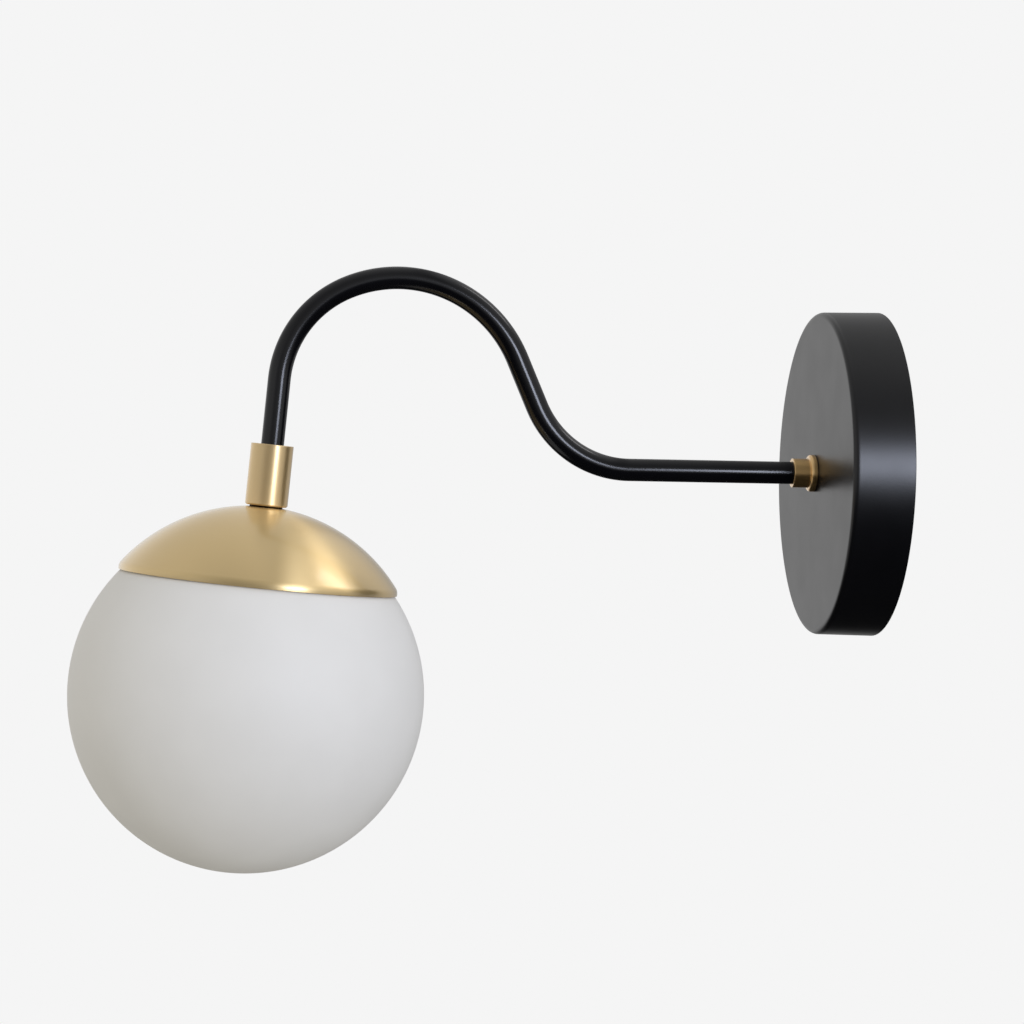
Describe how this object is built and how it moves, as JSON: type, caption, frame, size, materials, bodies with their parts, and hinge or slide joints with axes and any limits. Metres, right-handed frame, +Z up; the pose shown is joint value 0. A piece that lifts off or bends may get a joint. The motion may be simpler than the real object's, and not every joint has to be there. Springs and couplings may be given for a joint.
{
  "type": "globe wall sconce",
  "caption": "Gooseneck wall sconce: a round black canopy carries a swan-neck arm to a brass dome cap that holds an opal glass globe over a plug-in lamp.",
  "frame": {"origin": "middle of the two wall slots on the wall bracket's back face, on the canopy's axis; the wall is the plane Y = 0", "axes": "+Y into the wall along the canopy's axis, +Z up, +X to one side; the arm reaches out towards -Y in the plane X = 0"},
  "size_m": [0.15, 0.3444, 0.2573],
  "materials": {
    "black_coat": "satin black powder coat on pressed and bent steel",
    "satin_brass": "satin brushed brass, spun round the head's axis",
    "zinc_steel": "bright zinc plate on steel",
    "spring_steel": "hardened spring steel, blued grey",
    "plain_brass": "unlacquered turned brass",
    "contact_bronze": "folded phosphor bronze",
    "white_ceramic": "steatite, satin glaze",
    "block_plastic": "natural white polyamide",
    "black_plastic": "black polyamide",
    "silicone": "translucent white silicone",
    "lead_sheath": "white heat-resisting sheath",
    "brown_insulation": "brown silicone core",
    "blue_insulation": "blue silicone core",
    "earth_insulation": "green-and-yellow striped core",
    "opal_glass": "satin opal glass, acid-etched outside",
    "frosted_cover": "frosted heat-resisting envelope",
    "lamp_plastic": "white lamp base",
    "pin_metal": "nickel-plated pins",
    "board": "white circuit board",
    "chips": "yellow phosphor over each chip"
  },
  "bodies": {
    "wall_light": {"wall_bracket": "zinc_steel", "canopy_side_screws": "black_coat", "terminal_block": "block_plastic", "terminal_sleeves": "plain_brass", "terminal_screws": "zinc_steel", "block_screw": "zinc_steel", "earth_screw": "plain_brass", "earth_washer": "plain_brass", "earth_tags": "zinc_steel", "earth_lead": "earth_insulation", "canopy_shell": "black_coat", "canopy_ferrule": "satin_brass", "canopy_rod": "zinc_steel", "canopy_lock_washer": "zinc_steel", "canopy_lock_nut": "zinc_steel", "lead_bush": "black_plastic", "arm_tube": "black_coat", "arm_lead": "lead_sheath", "supply_live": "brown_insulation", "supply_neutral": "blue_insulation", "head_ferrule": "satin_brass", "head_rod": "zinc_steel", "globe_cap": "satin_brass", "gallery_plate": "zinc_steel", "globe_gasket": "silicone", "spring_clips": "spring_steel", "clip_rivets": "zinc_steel", "holder_strap": "zinc_steel", "head_lock_washer": "zinc_steel", "head_lock_nut": "zinc_steel", "lampholder_body": "white_ceramic", "lampholder_contacts": "contact_bronze", "strap_screws": "zinc_steel", "lamp_live": "brown_insulation", "lamp_neutral": "blue_insulation"},
    "lamp": {"lamp_base": "lamp_plastic", "lamp_pins": "pin_metal", "lamp_envelope": "frosted_cover", "led_board": "board", "led_chips": "chips"},
    "globe": {"globe_glass": "opal_glass"}
  },
  "joints": [
    {"name": "globe_drop", "type": "slide", "parent": "wall_light", "child": "globe", "axis": [0, -0.0854, -0.9963], "range_m": [0, 0.12], "deforming": ["spring_clips"]},
    {"name": "lamp_pull", "type": "slide", "parent": "wall_light", "child": "lamp", "axis": [0, -0.0854, -0.9963], "range_m": [0, 0.02]}
  ]
}
